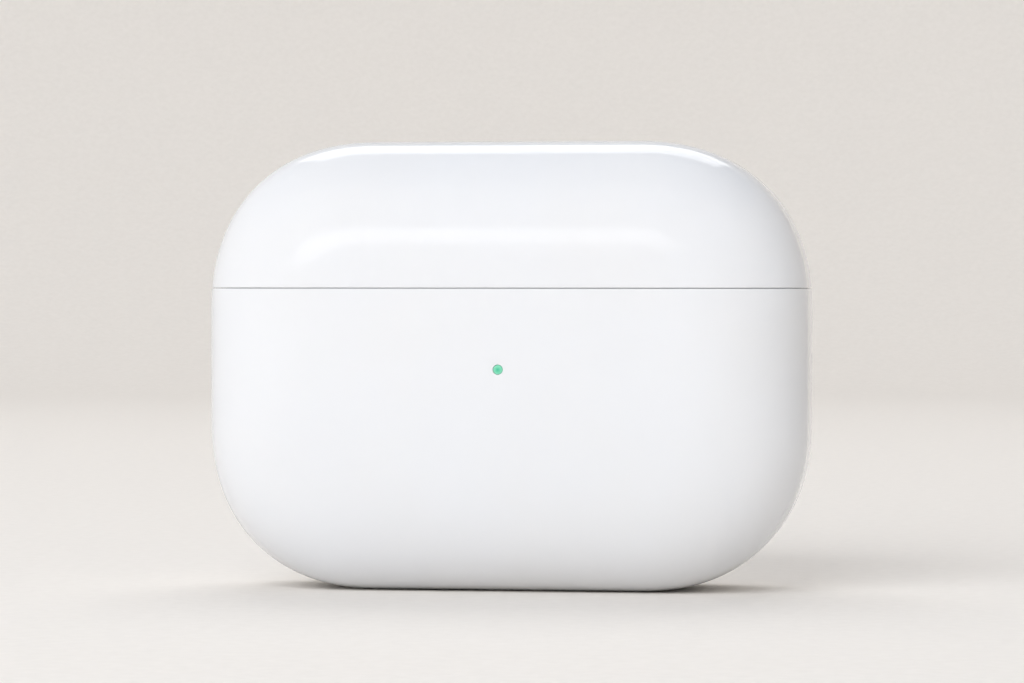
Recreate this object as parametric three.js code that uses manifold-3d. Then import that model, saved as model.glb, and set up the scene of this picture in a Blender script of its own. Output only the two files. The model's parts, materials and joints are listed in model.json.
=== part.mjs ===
// Charging case for wireless earbuds: a rounded slab in two shells, a base and a lid, joined
// by a metal barrel hinge at the back. The base holds a cradle with two earbud wells, sprung
// charging pins, a cell, a circuit board, a charging coil and a USB-C port.
//
// Units are millimetres. X is the width. Y runs from the front face (-Y) to the back (+Y).
// Z is up. The origin is the middle of the bottom.

import * as THREE from 'three';
import { mergeVertices } from 'three/addons/utils/BufferGeometryUtils.js';
import Module from 'manifold-3d';

const wasm = await Module();
wasm.setup();

// ---------------------------------------------------------------- driving dimensions

// Outer form
const WIDTH = 60.6;
const HEIGHT = 45.2;
const DEPTH = 21.7;
const CORNER = 17.1; // reach of each corner of the front outline
const CORNER_POWER = 2.25; // superellipse power of those corners; 2 is a circle
const EDGE = 12; // reach of the rounded edge, in from the front outline
const EDGE_POWER = 2.4; // superellipse power of the edge
const LAND = 2.75; // half width of the flat band around the rim of the slab
const WALL = 1.5;
const FIT = 0.3; // gap between a shell and the liner inside it
const BACK_Y = DEPTH / 2;
const FRONT_Y = -DEPTH / 2;

// Seam between the base and the lid
const SEAM_Z = 30.45;
const SEAM_GAP = 0.3;

// Hinge: five knuckles on one pin, flush with the back
const BARREL_RADIUS = 0.75;
const HINGE_Y = BACK_Y - BARREL_RADIUS;
const HINGE_LENGTH = 26;
const KNUCKLE_GAP = 0.2;
const KNUCKLES = 5;
const BORE_RADIUS = 0.37;
const PIN_RADIUS = 0.25;
const LEAF_Y = [8.45, 9.0];
const LEAF_REACH = 5; // how far a leaf runs along its shell, from the seam
const LEAF_OFFSET = 0.25; // seam plane to the edge of a leaf
const WEB_THICK = 0.48;
const NOTCH_HALF_HEIGHT = 1.05; // cut-out in each shell around the barrel
const NOTCH_FRONT_Y = 8.15;
const BEVEL_ANGLE = THREE.MathUtils.degToRad(51); // half angle of the relief groove
const BEVEL_INSET = 0.15; // how far the groove's root lies in front of the hinge axis

// Earbud wells: a bowl for the head, shared by base and lid, and a bore for the stem
const HEAD = { x: 13, y: -0.5, z: 31.5 };
const HEAD_RADII = { x: 10.5, y: 7.4, z: 9.5 };
const WELL_WALL = 0.9;
const STEM_X = 17.5;
const STEM_RADIUS = 3.3;
const STEM_FLOOR_Z = 7;
const STEM_FLOOR = 1;

// Cradle deck, with a lip round it that closes the seam off from inside, and lid liner plate
const DECK_Z = [SEAM_Z - 1.95, SEAM_Z - 0.75];
const LINER_Z = [SEAM_Z + 0.65, SEAM_Z + 1.85];
const LIP_TOP = SEAM_Z + 0.35;
const LIP_THICK = 0.7;

// Setup button on the back, and the switch behind it
const BUTTON_Z = 14.5;
const BUTTON_RADIUS = 3.3;
const BUTTON_GAP = 0.2;
const BUTTON_FACE_Y = BACK_Y - 0.05;
const FLANGE_RADIUS = 4;
const FLANGE_Y = [8.75, 9.05];
const PLUNGER_RADIUS = 1;
const PLUNGER_END_Y = 7.25;
const SWITCH_END_Y = 6.85;
const SWITCH_SIZE = 3.6;
const SWITCH_BODY_DEPTH = 3.2;
const ACTUATOR_RADIUS = 0.8;

// Status light: a clear pipe through the front wall, and the LED behind it
const LIGHT_Z = 22.4;
const LIGHT_RADIUS = 0.45;
const LIGHT_HOLE_RADIUS = 0.6;
const LIGHT_FLANGE_RADIUS = 1;
const LIGHT_FLANGE_Y = [-9.1, -8.5];

// USB-C port in the bottom
const PORT_SHELL = { width: 8.94, depth: 3.16, wall: 0.3, z: [0.5, 7], back: 0.5 };
const PORT_TONGUE = { x: [-3.35, 3.35], y: [-0.35, 0.35], z: [1.2, 6.2] };
const TRIM = { width: 10.2, depth: 4.2, z: [0, 1.3], gap: 0.15 };
const PORT_GAP = 0.15;

// Sprung charging pins, two in the floor of each stem bore
const PIN_SPACING = 2.6;
const CONTACT_Z = { bottom: 4.3, collar: 5.2, shoulder: 7.3, tip: 7.6 };
const CONTACT_RADIUS = { collar: 0.55, pin: 0.4, tip: 0.25 };
const CONTACT_BORE = 0.75;
const CONTACT_HOLE = 0.6;
const CONTACT_BLOCK = { width: 6, depth: 4.8, z: [3.7, 5.7] };

// Charging coil and the ferrite sheet in front of it
const COIL = { width: 26, height: 14, band: 2.4, corner: 4.5, y: [7.7, 8.2] };
const FERRITE_Y = [7.0, 7.4];
const FERRITE_HOLE = 1.6;

// Plain blocks inside the base, as [low, high] on each axis
const BATTERY = { x: [-12.3, 12.3], y: [-6.85, 1.35], z: [9, 19.5] };
const MAIN_BOARD = { x: [-12.6, 12.6], y: [1.8, 2.6], z: [3.2, 19.5] };
const FRONT_BOARD = { x: [-3.4, 3.4], y: [-7.5, -6.9], z: [20.9, 28.1] };
const STATUS_LED = { x: [-0.8, 0.8], y: [-8.3, -7.6], z: [LIGHT_Z - 0.5, LIGHT_Z + 0.5] };
const HALL_SENSOR = { x: [-0.8, 0.8], y: [-8.3, -7.6], z: [26.1, 27.7] };

// Chips and magnets, given for the right side and mirrored to the left
const CHIP = { x: [4.5, 9.5], y: [2.7, 3.6], z: [9, 14] };
const BUD_MAGNET = { x: [3.2, 6], y: [-3, 2], z: [20.7, 22.5] };
const BASE_MAGNET = { x: [24.9, 27.4], y: [-3, 2], z: [26.2, 28.2] };
const LID_MAGNET = { x: [24.8, 27.2], y: [-3, 2], z: [LINER_Z[1] + 0.2, LINER_Z[1] + 2] };

// Ribbon from the front board, over the cell, to the main board
const RIBBON = { width: 3, thick: 0.25, frontY: -6.8, backY: 3, topZ: 20.15, riseZ: 22.5, fallZ: 16.5 };

// Facets
const CORNER_STEPS = 9;
const EDGE_STEPS = 7;
const INNER_CORNER_STEPS = 6;
const INNER_EDGE_STEPS = 4;
const BOWL_STEPS = 22;
const ROUND_SIDES = 24;
const BUTTON_SIDES = 32;
const FINE_SIDES = 14;
const FAR = 60; // reaches past the whole case, for cutting blocks

// ---------------------------------------------------------------- solids

function weld(geometry) {
  const bare = geometry.clone();
  bare.deleteAttribute('normal');
  bare.deleteAttribute('uv');
  return mergeVertices(bare, 1e-4);
}

function solid(geometry) {
  const welded = weld(geometry);
  const corners = welded.index.array;
  const kept = [];
  for (let i = 0; i < corners.length; i += 3) {
    const [a, b, c] = [corners[i], corners[i + 1], corners[i + 2]];
    if (a !== b && b !== c && c !== a) kept.push(a, b, c);
  }
  const vertProperties = Float32Array.from(welded.attributes.position.array);
  const triVerts = Uint32Array.from(kept);
  return new wasm.Manifold(new wasm.Mesh({ numProp: 3, vertProperties, triVerts }));
}

function geometryOf(manifold) {
  const { vertProperties, triVerts } = manifold.getMesh();
  const geometry = new THREE.BufferGeometry();
  geometry.setAttribute('position', new THREE.BufferAttribute(vertProperties, 3));
  geometry.setIndex(new THREE.BufferAttribute(triVerts, 1));
  geometry.computeVertexNormals();
  return geometry;
}

function join(first, ...others) {
  return others.reduce((sum, geometry) => sum.add(solid(geometry)), solid(first));
}

function cut(manifold, ...cutters) {
  return cutters.reduce((rest, geometry) => rest.subtract(solid(geometry)), manifold);
}

// ---------------------------------------------------------------- shapes

function block({ x, y, z }) {
  const geometry = new THREE.BoxGeometry(x[1] - x[0], y[1] - y[0], z[1] - z[0]);
  return geometry.translate((x[0] + x[1]) / 2, (y[0] + y[1]) / 2, (z[0] + z[1]) / 2);
}

function mirrored({ x, y, z }, side) {
  return { x: side > 0 ? x : [-x[1], -x[0]], y, z };
}

function rodAlongX(radius, x, y, z, sides = ROUND_SIDES) {
  const rod = new THREE.CylinderGeometry(radius, radius, x[1] - x[0], sides);
  return rod.rotateZ(Math.PI / 2).translate((x[0] + x[1]) / 2, y, z);
}

function rodAlongY(radius, x, y, z, sides = ROUND_SIDES) {
  const rod = new THREE.CylinderGeometry(radius, radius, y[1] - y[0], sides);
  return rod.translate(x, (y[0] + y[1]) / 2, z);
}

function rodAlongZ(radius, x, y, z, sides = ROUND_SIDES) {
  const rod = new THREE.CylinderGeometry(radius, radius, z[1] - z[0], sides);
  return rod.rotateX(Math.PI / 2).translate(x, y, (z[0] + z[1]) / 2);
}

function roundedRectangle(width, height, radius) {
  const x = width / 2 - radius;
  const y = height / 2 - radius;
  const shape = new THREE.Shape();
  shape.absarc(x, y, radius, 0, Math.PI / 2);
  shape.absarc(-x, y, radius, Math.PI / 2, Math.PI);
  shape.absarc(-x, -y, radius, Math.PI, Math.PI * 1.5);
  shape.absarc(x, -y, radius, Math.PI * 1.5, Math.PI * 2);
  return shape;
}

// A prism along Z with rounded corners, such as a USB-C plug's outline.
function uprightPrism(width, depth, radius, z) {
  const shape = roundedRectangle(width, depth, radius);
  const options = { depth: z[1] - z[0], bevelEnabled: false, curveSegments: 5 };
  return new THREE.ExtrudeGeometry(shape, options).translate(0, 0, z[0]);
}

// A plate facing +Y, rounded at its corners.
function facingPlate(width, height, radius, y, z) {
  const shape = roundedRectangle(width, height, radius);
  const options = { depth: y[1] - y[0], bevelEnabled: false, curveSegments: 6 };
  return new THREE.ExtrudeGeometry(shape, options).rotateX(Math.PI / 2).translate(0, y[1], z);
}

// An outline in the YZ plane, given as [y, z] points, drawn out along X about the middle.
function sideProfile(points, x) {
  const shape = new THREE.Shape(points.map(([y, z]) => new THREE.Vector2(y, z)));
  const options = { depth: x[1] - x[0], bevelEnabled: false };
  const geometry = new THREE.ExtrudeGeometry(shape, options);
  return geometry.rotateZ(Math.PI / 2).rotateY(Math.PI / 2).translate(x[0], 0, 0);
}

// Closed skin through rings of points, front to back, with a flat fan on each end.
function loft(rings) {
  const count = rings[0].length;
  const points = rings.flat();
  const faces = [];
  for (let ring = 0; ring < rings.length - 1; ring++) {
    for (let i = 0; i < count; i++) {
      const next = (i + 1) % count;
      const [a, b] = [ring * count + i, ring * count + next];
      faces.push(a, a + count, b, b, a + count, b + count);
    }
  }
  for (const [ring, flip] of [[0, false], [rings.length - 1, true]]) {
    const middle = new THREE.Vector3();
    rings[ring].forEach((point) => middle.addScaledVector(point, 1 / count));
    const centre = points.push(middle) - 1;
    for (let i = 0; i < count; i++) {
      const [a, b] = [ring * count + i, ring * count + ((i + 1) % count)];
      faces.push(centre, ...(flip ? [b, a] : [a, b]));
    }
  }
  return new THREE.BufferGeometry().setFromPoints(points).setIndex(faces);
}

// Cosine or sine of a circle, bent towards a superellipse.
function bent(value, power) {
  return Math.sign(value) * Math.abs(value) ** (2 / power);
}

// The front outline of the case, drawn in by an inset, at one depth.
function outlineRing(inset, y, steps) {
  const ring = [];
  for (let quarter = 0; quarter < 4; quarter++) {
    const centreX = (quarter === 0 || quarter === 3 ? 1 : -1) * (WIDTH / 2 - CORNER);
    const centreZ = quarter < 2 ? HEIGHT - CORNER : CORNER;
    for (let step = 0; step <= steps; step++) {
      const angle = (quarter + step / steps) * Math.PI / 2;
      const x = centreX + (CORNER - inset) * bent(Math.cos(angle), CORNER_POWER);
      const z = centreZ + (CORNER - inset) * bent(Math.sin(angle), CORNER_POWER);
      ring.push(new THREE.Vector3(x, y, z));
    }
  }
  return ring;
}

// The whole rounded slab, shrunk evenly on every side.
function slab(shrink, cornerSteps, edgeSteps) {
  const halfDepth = DEPTH / 2 - shrink;
  const edge = EDGE - shrink;
  const front = [];
  for (let step = 0; step <= edgeSteps; step++) {
    const angle = (step / edgeSteps) * Math.PI / 2;
    const inset = shrink + edge * (1 - bent(Math.sin(angle), EDGE_POWER));
    const y = LAND + (halfDepth - LAND) * bent(Math.cos(angle), EDGE_POWER);
    front.push({ inset, y: -y });
  }
  const back = front.map(({ inset, y }) => ({ inset, y: -y })).reverse();
  return loft([...front, ...back].map(({ inset, y }) => outlineRing(inset, y, cornerSteps)));
}

function outerSlab() {
  return solid(slab(0, CORNER_STEPS, EDGE_STEPS));
}

function innerSlab(gap) {
  return solid(slab(WALL + gap, INNER_CORNER_STEPS, INNER_EDGE_STEPS));
}

// One layer of the case, between two heights.
function between(manifold, [low, high]) {
  const layer = { x: [-FAR, FAR], y: [-FAR, FAR], z: [low, high] };
  return manifold.intersect(solid(block(layer)));
}

// ---------------------------------------------------------------- hinge cut-outs

// Side is 1 for the lid, above the seam, and -1 for the base, below it.
function barrelNotch(side) {
  const half = HINGE_LENGTH / 2 + FIT;
  const edge = SEAM_Z + side * NOTCH_HALF_HEIGHT;
  const z = side > 0 ? [SEAM_Z - 1, edge] : [edge, SEAM_Z + 1];
  return block({ x: [-half, half], y: [NOTCH_FRONT_Y, BACK_Y + 1], z });
}

// Bevel of the back edge, so that the open lid's edge turns past the base's.
function reliefBevel(side) {
  const root = HINGE_Y - BEVEL_INSET;
  const run = 3;
  const rise = side * run * Math.tan(BEVEL_ANGLE);
  const corners = [[root, SEAM_Z], [root + run, SEAM_Z], [root + run, SEAM_Z + rise]];
  return sideProfile(side > 0 ? corners : corners.reverse(), [-FAR / 2, FAR / 2]);
}

// Room for a hinge leaf at the back of the cradle deck or the lid liner.
function leafPocket(z) {
  const half = HINGE_LENGTH / 2 + FIT;
  return block({ x: [-half, half], y: [NOTCH_FRONT_Y, BACK_Y], z: [z[0] - 1, z[1] + 1] });
}

// ---------------------------------------------------------------- shells

function baseShell() {
  const cup = between(outerSlab().subtract(innerSlab(0)), [-1, SEAM_Z - SEAM_GAP / 2]);
  const { width, depth, gap } = TRIM;
  const portHole = uprightPrism(width + 2 * gap, depth + 2 * gap, depth / 2 + gap, [-1, WALL + 1]);
  const throughBack = [BACK_Y - 2 * WALL, BACK_Y + 1];
  const throughFront = [FRONT_Y - 1, FRONT_Y + 2 * WALL];
  const buttonHole = rodAlongY(BUTTON_RADIUS + BUTTON_GAP, 0, throughBack, BUTTON_Z, BUTTON_SIDES);
  const lightHole = rodAlongY(LIGHT_HOLE_RADIUS, 0, throughFront, LIGHT_Z, FINE_SIDES);
  return geometryOf(cut(cup, portHole, buttonHole, lightHole, barrelNotch(-1), reliefBevel(-1)));
}

function lidShell() {
  const cap = between(outerSlab().subtract(innerSlab(0)), [SEAM_Z + SEAM_GAP / 2, HEIGHT + 1]);
  return geometryOf(cut(cap, barrelNotch(1), reliefBevel(1)));
}

// ---------------------------------------------------------------- earbud wells

function bowl(side, wall) {
  const sphere = new THREE.SphereGeometry(1, BOWL_STEPS, BOWL_STEPS / 2 + 2).rotateX(Math.PI / 2);
  sphere.scale(HEAD_RADII.x + wall, HEAD_RADII.y + wall, HEAD_RADII.z + wall);
  return sphere.translate(side * HEAD.x, HEAD.y, HEAD.z);
}

function contactX(side, index) {
  return side * STEM_X + (index - 1.5) * PIN_SPACING;
}

function cradleInsert() {
  const floorZ = STEM_FLOOR_Z - STEM_FLOOR;
  const lip = between(innerSlab(FIT).subtract(innerSlab(FIT + LIP_THICK)), [DECK_Z[0], LIP_TOP]);
  let body = between(innerSlab(FIT), DECK_Z).add(lip);
  for (const side of [-1, 1]) {
    const tube = rodAlongZ(STEM_RADIUS + WELL_WALL, side * STEM_X, HEAD.y, [floorZ, DECK_Z[0] + 0.5]);
    body = body.add(between(solid(bowl(side, WELL_WALL)), [0, DECK_Z[1]])).add(solid(tube));
  }
  for (const side of [-1, 1]) {
    body = cut(body, bowl(side, 0));
    body = cut(body, rodAlongZ(STEM_RADIUS, side * STEM_X, HEAD.y, [STEM_FLOOR_Z, HEAD.z]));
    for (const index of [1, 2]) {
      const hole = [floorZ - 1, STEM_FLOOR_Z + 1];
      body = cut(body, rodAlongZ(CONTACT_HOLE, contactX(side, index), HEAD.y, hole, FINE_SIDES));
    }
  }
  return geometryOf(cut(body, leafPocket([DECK_Z[0], LIP_TOP])));
}

function lidLiner() {
  let body = between(innerSlab(FIT), LINER_Z);
  for (const side of [-1, 1]) {
    body = body.add(between(solid(bowl(side, WELL_WALL)), [LINER_Z[0], HEIGHT]));
  }
  body = cut(body, bowl(-1, 0), bowl(1, 0));
  return geometryOf(cut(body, leafPocket(LINER_Z)));
}

// ---------------------------------------------------------------- hinge

function knuckleSpan(index) {
  const pitch = HINGE_LENGTH / KNUCKLES;
  const start = -HINGE_LENGTH / 2 + index * pitch;
  return [start + KNUCKLE_GAP / 2, start + pitch - KNUCKLE_GAP / 2];
}

// A leaf is a plate behind the liner with a web out to each of its own knuckles.
function hingeLeaf(side, indexes) {
  const half = HINGE_LENGTH / 2 - KNUCKLE_GAP;
  const near = SEAM_Z + side * LEAF_OFFSET;
  const far = SEAM_Z + side * LEAF_REACH;
  const webFar = near + side * WEB_THICK;
  const ordered = (a, b) => [Math.min(a, b), Math.max(a, b)];
  let body = solid(block({ x: [-half, half], y: LEAF_Y, z: ordered(near, far) }));
  for (const index of indexes) {
    const x = knuckleSpan(index);
    body = body.add(solid(block({ x, y: [LEAF_Y[0], HINGE_Y], z: ordered(near, webFar) })));
    body = body.add(solid(rodAlongX(BARREL_RADIUS, x, HINGE_Y, SEAM_Z)));
  }
  const bore = rodAlongX(BORE_RADIUS, [-FAR, FAR], HINGE_Y, SEAM_Z, FINE_SIDES);
  return geometryOf(cut(body, bore));
}

function hingePin() {
  const half = HINGE_LENGTH / 2;
  return rodAlongX(PIN_RADIUS, [-half, half], HINGE_Y, SEAM_Z, FINE_SIDES);
}

// ---------------------------------------------------------------- button and light

function setupButton() {
  const cap = rodAlongY(BUTTON_RADIUS, 0, [FLANGE_Y[0], BUTTON_FACE_Y], BUTTON_Z, BUTTON_SIDES);
  const flange = rodAlongY(FLANGE_RADIUS, 0, FLANGE_Y, BUTTON_Z, BUTTON_SIDES);
  const plunger = rodAlongY(PLUNGER_RADIUS, 0, [PLUNGER_END_Y, FLANGE_Y[0] + 0.1], BUTTON_Z);
  return geometryOf(join(cap, flange, plunger));
}

function buttonSwitch() {
  const start = MAIN_BOARD.y[1] + 0.1;
  const half = SWITCH_SIZE / 2;
  const bodyEnd = start + SWITCH_BODY_DEPTH;
  const body = block({ x: [-half, half], y: [start, bodyEnd], z: [BUTTON_Z - half, BUTTON_Z + half] });
  const actuator = rodAlongY(ACTUATOR_RADIUS, 0, [bodyEnd - 0.5, SWITCH_END_Y], BUTTON_Z);
  return geometryOf(join(body, actuator));
}

function lightPipe() {
  const pipe = rodAlongY(LIGHT_RADIUS, 0, [FRONT_Y, LIGHT_FLANGE_Y[1]], LIGHT_Z, FINE_SIDES);
  const flange = rodAlongY(LIGHT_FLANGE_RADIUS, 0, LIGHT_FLANGE_Y, LIGHT_Z, FINE_SIDES);
  return geometryOf(join(pipe, flange));
}

// ---------------------------------------------------------------- USB-C port

function portShell() {
  const { width, depth, wall, z, back } = PORT_SHELL;
  const outside = solid(uprightPrism(width, depth, depth / 2, z));
  const hollow = [z[0] - 1, z[1] - back];
  const inside = uprightPrism(width - 2 * wall, depth - 2 * wall, depth / 2 - wall, hollow);
  return geometryOf(cut(outside, inside));
}

function portTrimRing() {
  const { width, depth, z } = TRIM;
  const ring = solid(uprightPrism(width, depth, depth / 2, z));
  const outer = [PORT_SHELL.width + 2 * PORT_GAP, PORT_SHELL.depth + 2 * PORT_GAP];
  return geometryOf(cut(ring, uprightPrism(outer[0], outer[1], outer[1] / 2, [z[0] - 1, z[1] + 1])));
}

// ---------------------------------------------------------------- charging pins

function contactPin(side, index) {
  const { bottom, collar, shoulder, tip } = CONTACT_Z;
  const profile = [
    [0, bottom],
    [CONTACT_RADIUS.collar, bottom],
    [CONTACT_RADIUS.collar, collar],
    [CONTACT_RADIUS.pin, collar],
    [CONTACT_RADIUS.pin, shoulder],
    [CONTACT_RADIUS.tip, tip],
    [0, tip],
  ];
  const outline = profile.map(([radius, z]) => new THREE.Vector2(radius, z));
  const lathe = new THREE.LatheGeometry(outline, FINE_SIDES).rotateX(Math.PI / 2);
  return geometryOf(solid(lathe.translate(contactX(side, index), HEAD.y, 0)));
}

function contactBlock(side) {
  const { width, depth, z } = CONTACT_BLOCK;
  const centre = side * STEM_X;
  const x = [centre - width / 2, centre + width / 2];
  let body = solid(block({ x, y: [HEAD.y - depth / 2, HEAD.y + depth / 2], z }));
  for (const index of [1, 2]) {
    const bore = [z[0] - 1, z[1] + 1];
    body = cut(body, rodAlongZ(CONTACT_BORE, contactX(side, index), HEAD.y, bore, FINE_SIDES));
  }
  return geometryOf(body);
}

// ---------------------------------------------------------------- electronics

function chargeCoil() {
  const { width, height, band, corner, y } = COIL;
  const outside = solid(facingPlate(width, height, corner, y, BUTTON_Z));
  const hole = [y[0] - 1, y[1] + 1];
  const inside = facingPlate(width - 2 * band, height - 2 * band, corner - band, hole, BUTTON_Z);
  return geometryOf(cut(outside, inside));
}

function coilFerrite() {
  const plate = solid(facingPlate(COIL.width, COIL.height, COIL.corner, FERRITE_Y, BUTTON_Z));
  const hole = rodAlongY(FERRITE_HOLE, 0, [FERRITE_Y[0] - 1, FERRITE_Y[1] + 1], BUTTON_Z);
  return geometryOf(cut(plate, hole));
}

function frontRibbon() {
  const { width, thick, frontY, backY, topZ, riseZ, fallZ } = RIBBON;
  const outline = [
    [frontY, topZ - thick / 2],
    [backY - thick, topZ - thick / 2],
    [backY - thick, fallZ],
    [backY, fallZ],
    [backY, topZ + thick / 2],
    [frontY + thick, topZ + thick / 2],
    [frontY + thick, riseZ],
    [frontY, riseZ],
  ];
  return sideProfile(outline, [-width / 2, width / 2]);
}

// ---------------------------------------------------------------- materials

function finish(color, roughness, metalness = 0) {
  return new THREE.MeshStandardMaterial({ color, roughness, metalness });
}

const whiteGloss = finish(0xeef1f2, 0.12);
const whiteSatin = finish(0xe9ecee, 0.35);
const steel = finish(0xc4c6c8, 0.25, 1);
const gold = finish(0xd8b25a, 0.25, 1);
const nickel = finish(0xb5b3ad, 0.3, 1);
const blackPlastic = finish(0x1c1c1e, 0.5);
const boardGreen = finish(0x1f5a3c, 0.55);
const cellFoil = finish(0x3a3d42, 0.45);
const copper = finish(0xb4683c, 0.35, 1);
const ferrite = finish(0x2c2a2a, 0.7);
const amber = finish(0x9a6a24, 0.5);
const litGreen = finish(0x8fd0b0, 0.3);

// ---------------------------------------------------------------- the assembly

const earbudsCase = new THREE.Group();

function place(name, geometry, material) {
  const mesh = new THREE.Mesh(geometry, material);
  mesh.name = name;
  earbudsCase.add(mesh);
}

place('base_shell', baseShell(), whiteGloss);
place('lid_shell', lidShell(), whiteGloss);
place('cradle_insert', cradleInsert(), whiteSatin);
place('lid_liner', lidLiner(), whiteSatin);

place('hinge_base_leaf', hingeLeaf(-1, [0, 2, 4]), steel);
place('hinge_lid_leaf', hingeLeaf(1, [1, 3]), steel);
place('hinge_pin', hingePin(), steel);

place('setup_button', setupButton(), whiteGloss);
place('button_switch', buttonSwitch(), blackPlastic);
place('led_light_pipe', lightPipe(), litGreen);
place('status_led', block(STATUS_LED), litGreen);
place('hall_sensor', block(HALL_SENSOR), blackPlastic);
place('front_board', block(FRONT_BOARD), boardGreen);
place('front_ribbon', frontRibbon(), amber);

place('port_shell', portShell(), steel);
place('port_tongue', block(PORT_TONGUE), blackPlastic);
place('port_trim_ring', portTrimRing(), steel);

place('main_board', block(MAIN_BOARD), boardGreen);
place('control_chip', block(mirrored(CHIP, -1)), blackPlastic);
place('charging_chip', block(CHIP), blackPlastic);
place('battery', block(BATTERY), cellFoil);
place('charge_coil', chargeCoil(), copper);
place('coil_ferrite', coilFerrite(), ferrite);

for (const [sideName, side] of [['left', -1], ['right', 1]]) {
  place(`contact_block_${sideName}`, contactBlock(side), blackPlastic);
  for (const index of [1, 2]) {
    place(`contact_pin_${sideName}_${index}`, contactPin(side, index), gold);
  }
  place(`bud_magnet_${sideName}`, block(mirrored(BUD_MAGNET, side)), nickel);
  place(`base_magnet_${sideName}`, block(mirrored(BASE_MAGNET, side)), nickel);
  place(`lid_magnet_${sideName}`, block(mirrored(LID_MAGNET, side)), nickel);
}

export default earbudsCase;
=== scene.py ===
"""Looks of the wireless earbuds charging case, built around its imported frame.

Lengths are in millimetres until a mesh is made, and metres in Blender. X is the width,
-Y the front face, +Y the hinge side and +Z up, with the origin under the middle of the case.
"""

import json
import math

import bmesh
import bpy
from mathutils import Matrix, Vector

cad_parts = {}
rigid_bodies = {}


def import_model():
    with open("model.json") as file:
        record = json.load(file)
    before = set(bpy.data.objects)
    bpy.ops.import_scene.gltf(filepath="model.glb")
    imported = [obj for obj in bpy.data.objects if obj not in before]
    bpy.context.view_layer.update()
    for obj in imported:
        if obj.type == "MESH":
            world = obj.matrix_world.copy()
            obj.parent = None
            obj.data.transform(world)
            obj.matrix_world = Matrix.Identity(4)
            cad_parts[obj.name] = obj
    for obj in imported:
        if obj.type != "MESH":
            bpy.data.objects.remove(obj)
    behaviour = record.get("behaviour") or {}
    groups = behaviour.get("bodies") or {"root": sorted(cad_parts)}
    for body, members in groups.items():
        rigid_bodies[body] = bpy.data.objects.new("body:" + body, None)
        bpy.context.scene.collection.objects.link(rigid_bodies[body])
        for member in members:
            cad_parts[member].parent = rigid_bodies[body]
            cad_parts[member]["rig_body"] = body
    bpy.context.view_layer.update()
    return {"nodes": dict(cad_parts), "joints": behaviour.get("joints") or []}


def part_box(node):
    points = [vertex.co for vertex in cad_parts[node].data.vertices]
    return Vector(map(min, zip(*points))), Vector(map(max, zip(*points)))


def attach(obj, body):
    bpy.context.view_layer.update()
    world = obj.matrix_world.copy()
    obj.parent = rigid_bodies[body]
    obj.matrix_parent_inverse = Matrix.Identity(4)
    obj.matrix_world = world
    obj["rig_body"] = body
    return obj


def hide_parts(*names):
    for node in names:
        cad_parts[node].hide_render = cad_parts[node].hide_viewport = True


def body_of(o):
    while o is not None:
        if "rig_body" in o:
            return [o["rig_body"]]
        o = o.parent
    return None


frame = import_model()

MM = 0.001

# ---------------------------------------------------------------- sizes from the frame


def span(node, axis):
    """Lowest and highest value of a CAD node along X, Y or Z (0, 1, 2), in millimetres."""
    low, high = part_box(node)
    return low[axis] / MM, high[axis] / MM


WIDTH = span("base_shell", 0)[1] * 2
BACK = span("base_shell", 1)[1]
HEIGHT = span("lid_shell", 2)[1]
HINGE_PLACE = next(joint for joint in frame["joints"] if joint["name"] == "lid_hinge")["pos_m"]
HINGE_Y = HINGE_PLACE[1] / MM
SEAM = HINGE_PLACE[2] / MM
SEAM_GAP = 0.05         # seen between the two shells
BASE_RIM = SEAM - SEAM_GAP / 2
LID_RIM = SEAM + SEAM_GAP / 2

# ---------------------------------------------------------------- form of the shells

CORNER = 17.1           # reach of each corner of the front outline
CORNER_POWER = 2.25     # superellipse power of those corners
EDGE = 12.0             # reach of the rounded edge, in from the front outline
EDGE_POWER = 2.4        # superellipse power of the edge
LAND = 2.75             # half width of the flat band around the rim of the slab
WALL = 1.5
FLAT = CORNER - EDGE    # where the rounded edge ends, from a corner's centre
CENTRE_X = WIDTH / 2 - CORNER

BASE_FILLET = 0.14      # rounding of the rims at the seam
LID_FILLET = 0.1
RELIEF_ANGLE = math.radians(51)
RELIEF_ROOT = HINGE_Y - 0.15
RELIEF_REACH = 4.0      # how far below the rim the back edge is drawn down
RELIEF_BLEND = 0.12     # softens the start of the relief

QUARTER_POINTS = 72     # points on a quarter of each slice
CURVE_STEPS = 160       # samples of that quarter before its points are evened out
EDGE_LEVELS = 26
SIDE_LEVELS = 14
FILLET_STEPS = 5        # of the rims at the seam
ROUND_STEPS = 4         # of other rounded edges
OVERSHOOT = 1.0         # how far a cutter reaches past what it cuts

CREASE_ANGLE = math.radians(38)     # edges sharper than this stay crisp
FACE_WEIGHT = 60                    # how far large faces decide the shading

# ---------------------------------------------------------------- meshes


def quarter_turn(steps=5):
    """Angles from zero to a quarter turn."""
    return [math.pi / 2 * i / steps for i in range(steps + 1)]


def come_in(radius, angle):
    """How far a quarter round has come in from its side, at an angle."""
    return radius * (1 - math.cos(angle))


def to_go(radius, angle):
    """How far a quarter round still has to go to its end, at an angle."""
    return radius * (1 - math.sin(angle))


def make_object(name, vertices, faces):
    """An object from vertices in millimetres."""
    mesh = bpy.data.meshes.new(name)
    mesh.from_pydata([(x * MM, y * MM, z * MM) for x, y, z in vertices], [], faces)
    thing = bpy.data.objects.new(name, mesh)
    bpy.context.scene.collection.objects.link(thing)
    return thing


def soften(thing):
    """Smooth shading that stays crisp at sharp edges."""
    mesh = thing.data
    mesh.validate()
    mesh.polygons.foreach_set("use_smooth", [True] * len(mesh.polygons))
    mesh.set_sharp_from_angle(angle=CREASE_ANGLE)
    weighted = thing.modifiers.new("weighted", "WEIGHTED_NORMAL")
    weighted.keep_sharp = True
    weighted.weight = FACE_WEIGHT
    return thing


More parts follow.
